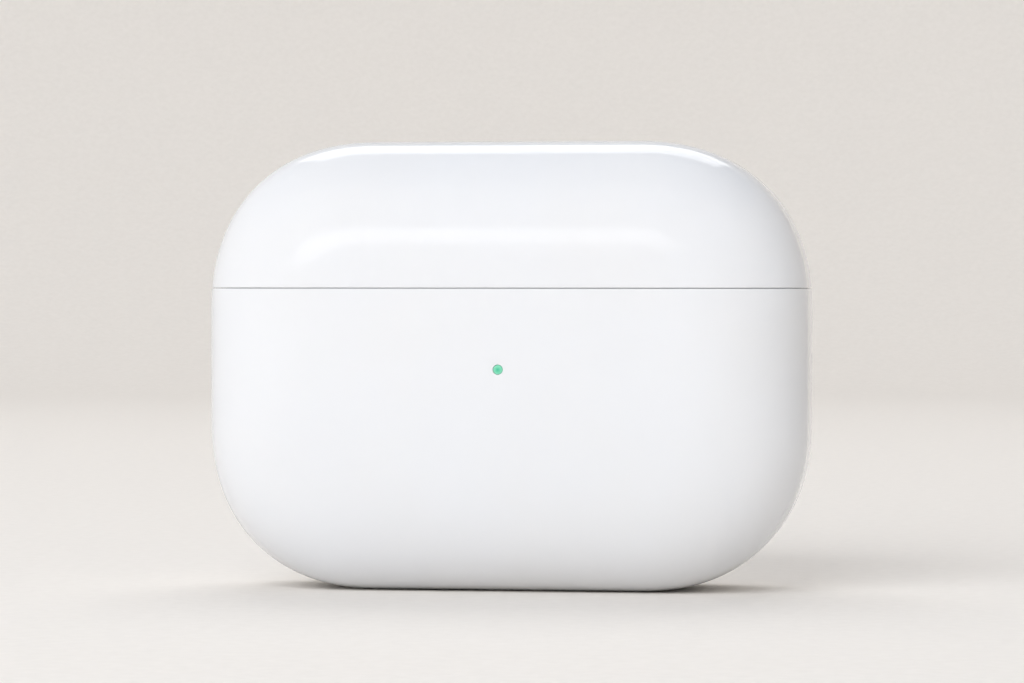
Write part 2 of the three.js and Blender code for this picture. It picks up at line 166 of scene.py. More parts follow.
def bake(thing):
    """Replaces the mesh by its evaluated self, so that no modifier is left."""
    graph = bpy.context.evaluated_depsgraph_get()
    baked = bpy.data.meshes.new_from_object(thing.evaluated_get(graph))
    thing.modifiers.clear()
    thing.data = baked
    return thing


def combine(thing, others, operation):
    """Boolean of a thing with others, which are used up."""
    for other in others:
        step = thing.modifiers.new(operation.lower(), "BOOLEAN")
        step.operation = operation
        step.solver = "EXACT"
        step.object = other
        bake(thing)
        bpy.data.objects.remove(other)
    return thing


def merge(name, things):
    """One object holding the meshes of several, each still closed."""
    mesh = bmesh.new()
    for thing in things:
        mesh.from_mesh(thing.data)
        bpy.data.objects.remove(thing)
    data = bpy.data.meshes.new(name)
    mesh.to_mesh(data)
    mesh.free()
    merged = bpy.data.objects.new(name, data)
    bpy.context.scene.collection.objects.link(merged)
    return merged


def loft(name, rings):
    """Closed skin through rings with equal point counts. Each end is one flat face."""
    count = len(rings[0])
    vertices = [point for ring in rings for point in ring]
    faces = []
    for level in range(len(rings) - 1):
        start = level * count
        for i in range(count):
            j = (i + 1) % count
            faces.append((start + i, start + j, start + count + j, start + count + i))
    faces.append(tuple(reversed(range(count))))
    faces.append(tuple(range(len(vertices) - count, len(vertices))))
    thing = make_object(name, vertices, faces)
    outward(thing)
    return thing


def outward(thing):
    """Turns every face outward."""
    mesh = bmesh.new()
    mesh.from_mesh(thing.data)
    bmesh.ops.recalc_face_normals(mesh, faces=mesh.faces)
    mesh.to_mesh(thing.data)
    mesh.free()


def lathe(name, profile, place, steps=64, stretch=(1, 1)):
    """Turned solid. The profile is (radius, distance) along the axis; place maps to space."""
    rings = []
    for radius, along in profile:
        ring = []
        for i in range(steps):
            angle = 2 * math.pi * i / steps
            a = radius * math.cos(angle) * stretch[0]
            b = radius * math.sin(angle) * stretch[1]
            ring.append(place(a, b, along))
        rings.append(ring)
    return loft(name, rings)


def along_x(y, z):
    """Place for something that runs along X at this Y and Z."""
    return lambda a, b, t: (t, y + a, z + b)


def along_y(x, z):
    return lambda a, b, t: (x + a, t, z + b)


def along_z(x, y):
    return lambda a, b, t: (x + a, y + b, t)


def rounded_outline(width, height, radius, steps):
    """Points round a rectangle with rounded corners, centred on zero."""
    points = []
    for corner in range(4):
        sign_a = 1 if corner in (0, 3) else -1
        sign_b = 1 if corner < 2 else -1
        for i in range(steps + 1):
            angle = (corner + i / steps) * math.pi / 2
            a = sign_a * (width / 2 - radius) + radius * math.cos(angle)
            b = sign_b * (height / 2 - radius) + radius * math.sin(angle)
            points.append((a, b))
    return points


def rounded_prism(name, width, height, radius, profile, place, steps=4):
    """Prism with a rounded outline. The profile is (growth, distance) along its axis."""
    rings = []
    for growth, along in profile:
        size = (width + 2 * growth, height + 2 * growth, max(radius + growth, 0.01))
        rings.append([place(a, b, along) for a, b in rounded_outline(*size, steps)])
    return loft(name, rings)


def round_over(low, high, fillet):
    """Profile of (growth, distance) for a prism whose two ends are rounded over."""
    angles = quarter_turn(ROUND_STEPS)
    start = [(-to_go(fillet, angle), low + come_in(fillet, angle)) for angle in angles]
    end = [(-come_in(fillet, angle), high - to_go(fillet, angle)) for angle in angles]
    return start + end


def flared(low, high, fillet):
    """Profile of a cutter that rounds the mouth of its hole over, at the high end."""
    profile = [(0, low)]
    direction = 1 if high > low else -1
    for angle in quarter_turn(ROUND_STEPS):
        profile.append((come_in(fillet, angle), high - direction * to_go(fillet, angle)))
    profile.append((fillet, high + direction * OVERSHOOT))
    return profile


def grown(radius, profile):
    """Lathe profile from a base radius and (growth, distance) pairs."""
    return [(radius + growth, along) for growth, along in profile]


def soft_block(name, x, y, z, fillet):
    """Block with rounded edges between low and high values on each axis."""
    size = (x[1] - x[0], z[1] - z[0])
    place = along_y(sum(x) / 2, sum(z) / 2)
    return rounded_prism(name, *size, fillet * 1.5, round_over(*y, fillet), place)


# ---------------------------------------------------------------- the slab's slices


def beyond(z):
    """How far a height lies past the centres of the outline's corners."""
    return max(0.0, CORNER - z, z - (HEIGHT - CORNER))


def slice_quarter(z, shrink):
    """Right front quarter of the horizontal slice at a height, from the middle to the side."""
    reach = CORNER - shrink
    edge = EDGE - shrink
    depth = BACK - shrink
    past = min(beyond(z), reach)
    start = max(0.0, (past - FLAT) / edge)
    first = math.asin(min(1.0, start ** (EDGE_POWER / 2)))
    points = [(0.0, 0.0)]
    for i in range(CURVE_STEPS + 1):
        angle = first + (math.pi / 2 - first) * i / CURVE_STEPS
        rho = max(past, FLAT + edge * math.sin(angle) ** (2 / EDGE_POWER))
        if i == 0:
            rho = past
        across = max(0.0, rho ** CORNER_POWER - past ** CORNER_POWER) ** (1 / CORNER_POWER)
        drop = LAND + (depth - LAND) * max(0.0, math.cos(angle)) ** (2 / EDGE_POWER)
        points.append((CENTRE_X + across, -drop))
    points[0] = (0.0, points[1][1])
    points.append((points[-1][0], 0.0))
    return points


def resample(points, count):
    """The same polyline with evenly spaced points."""
    lengths = [0.0]
    for (ax, ay), (bx, by) in zip(points, points[1:]):
        lengths.append(lengths[-1] + math.hypot(bx - ax, by - ay))
    even = []
    j = 0
    for i in range(count + 1):
        goal = lengths[-1] * i / count
        while j < len(points) - 2 and lengths[j + 1] < goal:
            j += 1
        gap = lengths[j + 1] - lengths[j]
        t = (goal - lengths[j]) / gap if gap > 0 else 0.0
        (ax, ay), (bx, by) = points[j], points[j + 1]
        even.append((ax + (bx - ax) * t, ay + (by - ay) * t))
    return even


def slice_ring(z, shrink):
    """The whole slice as a ring of points."""
    quarter = resample(slice_quarter(z, shrink), QUARTER_POINTS)
    right = quarter + [(x, -y) for x, y in reversed(quarter[:-1])]
    left = [(-x, y) for x, y in reversed(right[1:-1])]
    return [(x, y, z) for x, y in right + left]


def edge_heights(shrink):
    """Heights from a shell's flat end to where its rounded edge has died out."""
    heights = []
    for i in range(EDGE_LEVELS + 1):
        angle = math.pi / 2 * (1 - i / EDGE_LEVELS)
        past = FLAT + (EDGE - shrink) * math.sin(angle) ** (2 / EDGE_POWER)
        heights.append(CORNER - past)
    return heights


def even_heights(low, high, count):
    return [low + (high - low) * i / count for i in range(1, count + 1)]


def shell_rings(rim, wall, fillet):
    """Rings of a cup whose bottom is the slab's: up the outside, over the rim, down inside."""
    rings = []
    top = rim - fillet
    for z in edge_heights(0) + even_heights(CORNER - FLAT, top, SIDE_LEVELS):
        rings.append(slice_ring(z, 0))
    angles = quarter_turn(FILLET_STEPS)[1:]
    for angle in angles:
        rings.append(slice_ring(top + fillet * math.sin(angle), come_in(fillet, angle)))
    for angle in reversed(angles):
        rings.append(slice_ring(top + fillet * math.sin(angle), wall - come_in(fillet, angle)))
    inside = edge_heights(wall) + even_heights(CORNER - FLAT, top, SIDE_LEVELS)
    for z in reversed(inside):
        rings.append(slice_ring(z, wall))
    return rings


def relief_drop(y):
    """How far the back edge of a rim is drawn away from the seam, at a depth."""
    rise = (y - RELIEF_ROOT) * math.tan(RELIEF_ANGLE) - (SEAM - BASE_RIM)
    return (rise + math.hypot(rise, RELIEF_BLEND)) / 2


def relieved(rings, rim):
    """Rings with the back edge near the rim drawn down, so that the lid can turn past it."""
    result = []
    for ring in rings:
        moved = []
        for x, y, z in ring:
            weight = min(1.0, max(0.0, (z - rim + RELIEF_REACH) / RELIEF_REACH))
            moved.append((x, y, z - weight * relief_drop(y) if y > 0 else z))
        result.append(moved)
    return result


def upside_down(rings):
    """Rings turned over, from the bottom of the slab to its top."""
    return [[(x, y, HEIGHT - z) for x, y, z in ring] for ring in rings]


# ---------------------------------------------------------------- shells

HINGE_HALF = span("hinge_pin", 0)[1]
BARREL_RADIUS = BACK - HINGE_Y
NOTCH_ROOM = 0.3        # above and below the barrel
NOTCH_END_ROOM = 0.25   # beyond each end of it
NOTCH_FRONT = 8.15      # how near the middle of the case the notch reaches
NOTCH_CORNER = 0.55
HOLE_START = 8.0        # where the cutters of holes in the walls start, inside the case
BUTTON_Z = sum(span("setup_button", 2)) / 2
BUTTON_RADIUS = 3.3
BUTTON_GAP = 0.12
LIGHT_Z = sum(span("led_light_pipe", 2)) / 2
LIGHT_RADIUS = 0.45
LIGHT_GAP = 0.05
TRIM_WIDTH = span("port_trim_ring", 0)[1] * 2
TRIM_DEPTH = span("port_trim_ring", 1)[1] * 2
PORT_WIDTH = span("port_shell", 0)[1] * 2
PORT_DEPTH = span("port_shell", 1)[1] * 2
PORT_WALL = 0.3
TRIM_GAP = 0.08


def hinge_notch():
    """Cutter for the room round the barrel, with rounded corners and mouth."""
    width = 2 * (HINGE_HALF + NOTCH_END_ROOM)
    height = 2 * (BARREL_RADIUS + NOTCH_ROOM)
    cut = flared(NOTCH_FRONT, BACK, fillet=0.12)
    return rounded_prism("notch", width, height, NOTCH_CORNER, cut, along_y(0, SEAM), steps=6)


def base_shell():
    """Cup with holes for the button, the light and the port, and the hinge's notch."""
    shell = loft("base_shell_skin", relieved(shell_rings(BASE_RIM, WALL, BASE_FILLET), BASE_RIM))
    button_cut = grown(BUTTON_RADIUS + BUTTON_GAP, flared(HOLE_START, BACK, fillet=0.14))
    button_hole = lathe("hole", button_cut, along_y(0, BUTTON_Z))
    light_cut = grown(LIGHT_RADIUS + LIGHT_GAP, flared(-HOLE_START, -BACK, fillet=0.06))
    light_hole = lathe("hole", light_cut, along_y(0, LIGHT_Z), steps=40)
    port_size = (TRIM_WIDTH + 2 * TRIM_GAP, TRIM_DEPTH + 2 * TRIM_GAP, TRIM_DEPTH / 2 + TRIM_GAP)
    port_cut = flared(WALL + OVERSHOOT, 0, fillet=0.12)
    port_hole = rounded_prism("hole", *port_size, port_cut, along_z(0, 0), steps=12)
    return combine(shell, [button_hole, light_hole, port_hole, hinge_notch()], "DIFFERENCE")


def lid_shell():
    """Cup turned over, with the upper half of the hinge's notch."""
    rim = HEIGHT - LID_RIM
    rings = relieved(shell_rings(rim, WALL, LID_FILLET), rim)
    shell = loft("lid_shell_skin", upside_down(rings))
    return combine(shell, [hinge_notch()], "DIFFERENCE")


# ---------------------------------------------------------------- cradle and liner

HEAD = Vector((13.0, -0.5, 31.5))       # centre of the right well for an earbud's head
HEAD_RADII = Vector((10.5, 7.4, 9.5))
WELL_WALL = 0.9
STEM_X = 17.5
STEM_RADIUS = 3.3
CRADLE_FLOOR, LIP_TOP = span("cradle_insert", 2)
LIP_THICK = 0.7         # of the lip that closes the seam off from inside
PLATE_THICK = 1.2       # of the cradle's deck and the lid's liner
DECK = (SEAM - 0.75 - PLATE_THICK, SEAM - 0.75)
LINER = (span("lid_liner", 2)[0], span("lid_liner", 2)[0] + PLATE_THICK)
SKIN_GAP = 0.04         # visible gap between a liner and its shell
LINER_EDGE = WALL + SKIN_GAP
LIP_FILLET = 0.2
PLATE_FILLET = 0.4
MOUTH = 0.45            # rounding of the wells' mouths
OVERLAP = 0.6           # how far the bowls reach into their plates
BOWL_STEPS = 36
POLE = 0.002            # keeps the ends of a bowl's profile off the axis
MOUTH_CUT = 3.0         # how far the wells' cutters reach past their mouths
WELL_FLOOR = CRADLE_FLOOR + 1.0
PIN_HOLE_RADIUS = 0.55
POCKET_Y = 11.15        # middle of the pocket for a hinge leaf, outside the case
POCKET_DEPTH = 6.0
POCKET_CORNER = 0.5
POCKET_END_ROOM = 0.3


def deck_plate():
    """Deck of the cradle, with a thin rounded lip round it."""
    inner = LINER_EDGE + LIP_THICK
    curve = [(come_in(LIP_FILLET, angle), to_go(LIP_FILLET, angle)) for angle in quarter_turn()]
    levels = [(LINER_EDGE, DECK[0])]
    levels += [(LINER_EDGE + near, LIP_TOP - far) for near, far in curve]
    levels += [(inner - far, LIP_TOP - near) for near, far in curve]
    levels += [(inner + near, DECK[1] + far) for near, far in curve]
    return loft("cradle_liner", [slice_ring(z, shrink) for shrink, z in levels])


def liner_plate():
    """Plate inside the lid, its lower edge rounded."""
    low, high = LINER
    levels = []
    for angle in quarter_turn():
        levels.append((LINER_EDGE + to_go(PLATE_FILLET, angle), low + come_in(PLATE_FILLET, angle)))
    levels.append((LINER_EDGE, high))
    return loft("lid_lining", [slice_ring(z, shrink) for shrink, z in levels])


def bowl_profile(grow, mouth=None, side=-1, lip=0.0):
    """Profile of an ellipsoid of the head well, as (share of the radius, height).

    With a mouth, the profile stops there and flares out into a rounded lip.
    """
    tall = HEAD_RADII.z + grow
    profile = []
    for i in range(BOWL_STEPS + 1):
        angle = math.pi * (i / BOWL_STEPS) - math.pi / 2
        share, z = math.cos(angle), HEAD.z + tall * math.sin(angle)
        if mouth is None or (z - mouth) * side > lip:
            profile.append((max(share, POLE), z))
    if mouth is None:
        return profile
    if side > 0:
        profile.reverse()
    inner = math.sqrt(1 - ((mouth + side * lip - HEAD.z) / tall) ** 2)
    flare = lip / HEAD_RADII.x
    for angle in quarter_turn(6):
        profile.append((inner + come_in(flare, angle), mouth + side * to_go(lip, angle)))
    profile.append((inner + flare, mouth - side * MOUTH_CUT))
    return profile


def bowl(grow, **mouth):
    """Left and right solids of the head wells."""
    stretch = (HEAD_RADII.x + grow, HEAD_RADII.y + grow)
    profile = bowl_profile(grow, **mouth)
    return [
        lathe("bowl", profile, along_z(side * HEAD.x, HEAD.y), steps=96, stretch=stretch)
        for side in (-1, 1)
    ]


def trimmed(things, low, high):
    """Things cut off below one height and above another."""
    side = 2 * WIDTH
    for thing in things:
        layer = rounded_prism("layer", side, side, 1, [(0, low), (0, high)], along_z(0, 0))
        combine(thing, [layer], "INTERSECT")
    return things


def leaf_pocket(low, high):
    """Cutter that leaves room in a plate for a hinge leaf."""
    size = (2 * (HINGE_HALF + POCKET_END_ROOM), POCKET_DEPTH, POCKET_CORNER)
    cut = [(0, low - OVERSHOOT), (0, high + OVERSHOOT)]
    return rounded_prism("pocket", *size, cut, along_z(0, POCKET_Y))


def stem_bore(place):
    """Cutter for an earbud's stem, narrowed and rounded at the well's floor."""
    profile = [
        (STEM_RADIUS - 0.6, WELL_FLOOR),
        (STEM_RADIUS - 0.2, WELL_FLOOR + 0.15),
        (STEM_RADIUS, WELL_FLOOR + 0.6),
        (STEM_RADIUS, HEAD.z),
    ]
    return lathe("bore", profile, place)


def cradle():
    """Liner of the base: a deck with two wells, each a bowl with a bore and two pin holes."""
    body = deck_plate()
    combine(body, trimmed(bowl(WELL_WALL), CRADLE_FLOOR, DECK[0] + OVERLAP), "UNION")
    holes = bowl(0, mouth=DECK[1], side=-1, lip=MOUTH)
    tube = grown(STEM_RADIUS + WELL_WALL, round_over(CRADLE_FLOOR, DECK[0] + 0.3, fillet=0.5))
    pin_hole = grown(PIN_HOLE_RADIUS, flared(CRADLE_FLOOR - OVERSHOOT, WELL_FLOOR, fillet=0.1))
    for side in (-1, 1):
        place = along_z(side * STEM_X, HEAD.y)
        combine(body, [lathe("tube", tube, place)], "UNION")
        holes.append(stem_bore(place))
        for x in pin_places(side):
            holes.append(lathe("hole", pin_hole, along_z(x, HEAD.y), steps=32))
    holes.append(leaf_pocket(DECK[0], LIP_TOP))
    return combine(body, holes, "DIFFERENCE")


def lid_lining():
    """Liner of the lid: a plate with two domes over the wells."""
    body = liner_plate()
    combine(body, trimmed(bowl(WELL_WALL), LINER[1] - OVERLAP, HEIGHT), "UNION")
    holes = bowl(0, mouth=LINER[0], side=1, lip=MOUTH)
    holes.append(leaf_pocket(*LINER))
    return combine(body, holes, "DIFFERENCE")


def pin_places(side):
    """X of the two charging pins of one well."""
    name = "left" if side < 0 else "right"
    return [sum(span(f"contact_pin_{name}_{index}", 0)) / 2 for index in (1, 2)]


# ---------------------------------------------------------------- hinge

KNUCKLES = 5
KNUCKLE_GAP = 0.14
LEAF_THICK = 0.55
LEAF_FROM_SEAM = 0.27   # nearest edge of each leaf
WEB_HEIGHT = 0.45       # of the webs that join the knuckles to a leaf
PIN_ROD_RADIUS = 0.3


def drawn_in(ends, amount):
    """Low and high ends, both drawn in by an amount."""
    low, high = ends
    return low + amount, high - amount


def knuckle(index):
    """Ends of a knuckle along X."""
    pitch = 2 * HINGE_HALF / KNUCKLES
    low = -HINGE_HALF + index * pitch + KNUCKLE_GAP / 2
    high = low + pitch - KNUCKLE_GAP
    return low, high


def hinge_leaf(name, node, side, indexes):
    """Plate with its share of the knuckles, above the seam (side 1) or below it (-1)."""
    front = span(node, 1)[0]
    near = SEAM + side * LEAF_FROM_SEAM
    far = span(node, 2)[1 if side > 0 else 0]
    plate_x = drawn_in(span(node, 0), 0.05)
    plate_y = (front, front + LEAF_THICK)
    parts = [soft_block("plate", plate_x, plate_y, sorted((near, far)), fillet=0.08)]
    web_z = sorted((near, near + side * WEB_HEIGHT))
    for index in indexes:
        ends = knuckle(index)
        parts.append(soft_block("web", drawn_in(ends, 0.1), (front, HINGE_Y), web_z, fillet=0.06))
        barrel = grown(BARREL_RADIUS, round_over(*ends, fillet=0.13))
        parts.append(lathe("barrel", barrel, along_x(HINGE_Y, SEAM), steps=56))
    return merge(name, parts)


def hinge_pin():
    """Rod through the five knuckles, its ends just inside theirs."""
    ends = drawn_in((-HINGE_HALF, HINGE_HALF), 0.02)
    rod = grown(PIN_ROD_RADIUS, round_over(*ends, fillet=0.12))
    return lathe("hinge_pin_rod", rod, along_x(HINGE_Y, SEAM), steps=32)


# ---------------------------------------------------------------- button, light, pins

CHAMFER = 0.05
PLUNGER_RADIUS = 1.0
BUTTON_FLANGE_RADIUS = 4.0
BUTTON_FLANGE = (8.75, 9.05)    # along Y, behind the wall
BUTTON_ROUND = 0.22
BUTTON_CROWN = 0.06     # rise of the cap's middle over its rim
CROWN_STEPS = 8

PIPE_FLANGE_RADIUS = 1.0
PIPE_FLANGE = (-8.5, -9.1)      # along Y, behind the wall

PIN_BARREL_RADIUS = 0.55
PIN_BARREL_TOP = 5.2
PIN_TIP_RADIUS = 0.4
PIN_DOME = 0.36


def setup_button():
    """Slightly crowned cap with a retaining flange and a plunger."""
    end, face = span("setup_button", 1)
    inner, outer = BUTTON_FLANGE
    rim = face - BUTTON_CROWN
    profile = [
        (PLUNGER_RADIUS - 0.4, end),
        (PLUNGER_RADIUS - CHAMFER, end + 0.2),
        (PLUNGER_RADIUS, inner),
        (BUTTON_FLANGE_RADIUS - CHAMFER, inner),
        (BUTTON_FLANGE_RADIUS, inner + CHAMFER),
        (BUTTON_FLANGE_RADIUS, outer - CHAMFER),
        (BUTTON_FLANGE_RADIUS - CHAMFER, outer),
        (BUTTON_RADIUS + CHAMFER, outer),
        (BUTTON_RADIUS, outer + 2 * CHAMFER),
    ]
    for angle in quarter_turn(6):
        profile.append((BUTTON_RADIUS - come_in(BUTTON_ROUND, angle), rim - to_go(BUTTON_ROUND, angle)))
    for i in range(1, CROWN_STEPS):
        share = 1 - i / CROWN_STEPS
        profile.append(((BUTTON_RADIUS - BUTTON_ROUND) * share, face - BUTTON_CROWN * share ** 2))
    return lathe("setup_button_cap", profile, along_y(0, BUTTON_Z), steps=96)


def light_pipe():
    """Rod that ends flush in the front face, with a flange behind the wall."""
    front = -BACK
    inner, outer = PIPE_FLANGE
    profile = [
        (PIPE_FLANGE_RADIUS - 2 * CHAMFER, inner),
        (PIPE_FLANGE_RADIUS, inner - CHAMFER),
        (PIPE_FLANGE_RADIUS, outer + CHAMFER),
        (PIPE_FLANGE_RADIUS - CHAMFER, outer),
        (LIGHT_RADIUS, outer - CHAMFER),
        (LIGHT_RADIUS, front + 0.08),
        (LIGHT_RADIUS - 0.03, front + 0.04),
        (LIGHT_RADIUS * 0.6, front + 0.015),
        (0.02, front + 0.005),
    ]
    return lathe("light_window", profile, along_y(0, LIGHT_Z), steps=48)


def contact_pin(name, node):
    """Charging pin: a barrel and a thinner tip with a domed end."""
    x = sum(span(node, 0)) / 2
    bottom, tip = span(node, 2)
    profile = [
        (PIN_BARREL_RADIUS - 0.1, bottom),
        (PIN_BARREL_RADIUS, bottom + 0.1),
        (PIN_BARREL_RADIUS, PIN_BARREL_TOP - 0.1),
        (PIN_BARREL_RADIUS - CHAMFER, PIN_BARREL_TOP),
        (PIN_TIP_RADIUS, PIN_BARREL_TOP + 0.02),
    ]
    for angle in quarter_turn(7):
        profile.append((max(PIN_TIP_RADIUS * math.cos(angle), 0.01), tip - to_go(PIN_DOME, angle)))
    return lathe(name, profile, along_z(x, HEAD.y), steps=40)


# ---------------------------------------------------------------- port

STADIUM_STEPS = 14      # points on a quarter of a rounded end
TRIM_ROUND = 0.12       # outer edge of the ring
TRIM_MOUTH = 0.2        # inner edge of the ring
PORT_ROUND = 0.14
CONTACTS_PER_SIDE = 12
CONTACT_PITCH = 0.5
CONTACT_HALF_WIDTH = 0.12
CONTACT_SUNK = 0.05     # into the tongue's face
CONTACT_PROUD = 0.03    # above it


def stadium_ring(name, outer, inner, profile_out, profile_in):
    """Ring between two stadium outlines, given as (width, depth), with profiles along Z."""
    rings = []
    for (width, depth), profile in ((outer, profile_out), (inner, profile_in)):
        for growth, z in profile:
            size = (width + 2 * growth, depth + 2 * growth, depth / 2 + growth)
            rings.append([(a, b, z) for a, b in rounded_outline(*size, STADIUM_STEPS)])
    count = len(rings[0])
    vertices = [point for ring in rings for point in ring]
    faces = []
    for level in range(len(rings)):
        start, after = level * count, ((level + 1) % len(rings)) * count
        for i in range(count):
            j = (i + 1) % count
            faces.append((start + i, start + j, after + j, after + i))
    thing = make_object(name, vertices, faces)
    outward(thing)
    return thing


def port_trim():
    """Steel ring round the port, rounded at both edges of its face."""
    low, high = span("port_trim_ring", 2)
    outer = (TRIM_WIDTH, TRIM_DEPTH)
    inner = (PORT_WIDTH + 0.1, PORT_DEPTH + 0.1)
    outside = [(0, high)]
    inside = []
    for angle in quarter_turn():
        outside.append((-come_in(TRIM_ROUND, angle), low + to_go(TRIM_ROUND, angle)))
        inside.append((to_go(TRIM_MOUTH, angle), low + come_in(TRIM_MOUTH, angle)))
    inside.append((0, high))
    return stadium_ring("port_trim", outer, inner, outside, inside)


def port_can():
    """Drawn steel shell of the port, with a rolled lip and a closed back."""
    low, high = span("port_shell", 2)
    size = (PORT_WIDTH, PORT_DEPTH, PORT_DEPTH / 2)
    skin = round_over(low, high, PORT_ROUND)
    can = rounded_prism("port_can", *size, skin, along_z(0, 0), STADIUM_STEPS)
    size = (PORT_WIDTH - 2 * PORT_WALL, PORT_DEPTH - 2 * PORT_WALL, PORT_DEPTH / 2 - PORT_WALL)
    cut = flared(high - 0.5, low, PORT_ROUND)
    hollow = rounded_prism("hollow", *size, cut, along_z(0, 0), STADIUM_STEPS)
    return combine(can, [hollow], "DIFFERENCE")


def tongue():
    """Plastic tongue in the middle of the port."""
    x, y, z = (span("port_tongue", axis) for axis in range(3))
    size = (x[1] - x[0], y[1] - y[0], 0.12)
    return rounded_prism("port_tongue_body", *size, round_over(*z, fillet=0.1), along_z(0, 0))


def tongue_contacts():
    """Gold contacts on both sides of the tongue."""
    face = span("port_tongue", 1)[1]
    low, high = span("port_tongue", 2)
    parts = []
    for side in (-1, 1):
        y = sorted((side * (face - CONTACT_SUNK), side * (face + CONTACT_PROUD)))
        for index in range(CONTACTS_PER_SIDE):
            middle = (index - (CONTACTS_PER_SIDE - 1) / 2) * CONTACT_PITCH
            x = (middle - CONTACT_HALF_WIDTH, middle + CONTACT_HALF_WIDTH)
            parts.append(soft_block("contact", x, y, (low + 0.5, high - 0.6), fillet=0.02))
    return merge("port_tongue_contacts", parts)


# ---------------------------------------------------------------- material helpers


class Paint:
    """A node material under construction."""

    def __init__(self, name, color, roughness, metallic=0.0):
        self.material = bpy.data.materials.new(name)
        self.material.use_nodes = True
        self.nodes = self.material.node_tree.nodes
        self.links = self.material.node_tree.links
        self.shader = self.nodes["Principled BSDF"]
        self.set("Base Color", (*color, 1))
        self.set("Roughness", roughness)
        self.set("Metallic", metallic)
        self.position = self.nodes.new("ShaderNodeTexCoord").outputs["Object"]

    def set(self, socket, value):
        self.shader.inputs[socket].default_value = value

    def feed(self, output, socket):
        self.links.new(output, self.shader.inputs[socket])

    def stretched(self, scale):
        """Object position, scaled differently along each axis."""
        mapping = self.nodes.new("ShaderNodeMapping")
        mapping.inputs["Scale"].default_value = scale
        self.links.new(self.position, mapping.inputs["Vector"])
        return mapping.outputs["Vector"]

    def vector_math(self, operation, vector, other=None):
        """Node that works on a vector, with a fixed second one where the operation takes two."""
        node = self.nodes.new("ShaderNodeVectorMath")
        node.operation = operation
        self.links.new(vector, node.inputs[0])
        if other:
            node.inputs[1].default_value = other
        return node

    def noise(self, size, detail=3.0, vector=None):
        """Cloudy noise with features about this many millimetres wide."""
        node = self.nodes.new("ShaderNodeTexNoise")
        node.inputs["Scale"].default_value = 1 / (size * MM)
        node.inputs["Detail"].default_value = detail
        self.links.new(vector or self.position, node.inputs["Vector"])
        return node.outputs["Fac"]

    def ranged(self, value, low, high, start=0.3, end=0.7):
        """A value from start to end mapped to low to high."""
        node = self.nodes.new("ShaderNodeMapRange")
        node.inputs["From Min"].default_value = start
        node.inputs["From Max"].default_value = end
        node.inputs["To Min"].default_value = low
        node.inputs["To Max"].default_value = high
        self.links.new(value, node.inputs["Value"])
        return node.outputs["Result"]

    def blend(self, factor, first, second):
        """Mix of two colours."""
        node = self.nodes.new("ShaderNodeMix")
        node.data_type = "RGBA"
        for socket, value in (("A", first), ("B", second)):
            entry = [i for i in node.inputs if i.name == socket and i.type == "RGBA"][0]
            if isinstance(value, tuple):
                entry.default_value = (*value, 1)
            else:
                self.links.new(value, entry)
        self.links.new(factor, node.inputs["Factor"])
        return [o for o in node.outputs if o.type == "RGBA"][0]

    def bump(self, height, distance):
        """Surface relief of this many millimetres."""
        node = self.nodes.new("ShaderNodeBump")
        node.inputs["Distance"].default_value = distance * MM
        node.inputs["Strength"].default_value = 1.0
        self.links.new(height, node.inputs["Height"])
        self.feed(node.outputs["Normal"], "Normal")


def scaled(color, red, green=None, blue=None):
    """A colour with its channels scaled, all by the first share if it is the only one."""
    shares = (red, green or red, blue or red)
    return tuple(value * share for value, share in zip(color, shares))


def cover(thing, material):
    thing.data.materials.clear()
    thing.data.materials.append(material)
    return thing


# ---------------------------------------------------------------- materials


def moulded_white(name, color, roughness, peel):
    """Moulded white plastic: faint clouding, handling haze and orange peel."""
    paint = Paint(name, color, roughness)
    clouds = paint.ranged(paint.noise(size=14), 0, 1)
    paint.feed(paint.blend(clouds, color, scaled(color, 1.0, 0.992, 0.978)), "Base Color")
    haze = paint.noise(size=9, detail=1)
    paint.feed(paint.ranged(haze, roughness * 0.92, roughness * 1.12, start=0.2, end=0.8), "Roughness")
    paint.bump(paint.noise(size=1.1, detail=2), peel)
    paint.set("IOR", 1.5)
    return paint.material


def polished_steel(name, color, roughness):
    """Steel with fine lines drawn along X."""
    paint = Paint(name, color, roughness, 1.0)
    lines = paint.noise(size=1, detail=4, vector=paint.stretched((0.05, 14, 14)))
    paint.feed(paint.ranged(lines, roughness * 0.7, roughness * 1.4), "Roughness")
    clouds = paint.ranged(paint.noise(size=3), 0, 1)
    paint.feed(paint.blend(clouds, color, scaled(color, 0.9)), "Base Color")
    paint.bump(lines, 0.004)
    return paint.material


def plated(name, color, roughness):
    """Plated metal with slight tarnish clouds."""
    paint = Paint(name, color, roughness, 1.0)
    clouds = paint.noise(size=0.9, detail=4)
    paint.feed(paint.blend(paint.ranged(clouds, 0, 1), color, scaled(color, 0.82)), "Base Color")
    paint.feed(paint.ranged(clouds, roughness * 0.8, roughness * 1.6), "Roughness")
    paint.bump(paint.noise(size=0.15, detail=2), 0.002)
    return paint.material


def moulded_dark(name, color):
    """Dark engineering plastic with a fine spark-eroded grain."""
    paint = Paint(name, color, 0.5)
    grain = paint.noise(size=0.12)
    paint.feed(paint.ranged(grain, 0.42, 0.62), "Roughness")
    clouds = paint.ranged(paint.noise(size=2), 0, 1)
    paint.feed(paint.blend(clouds, color, scaled(color, 1.5)), "Base Color")
    paint.bump(grain, 0.012)
    return paint.material


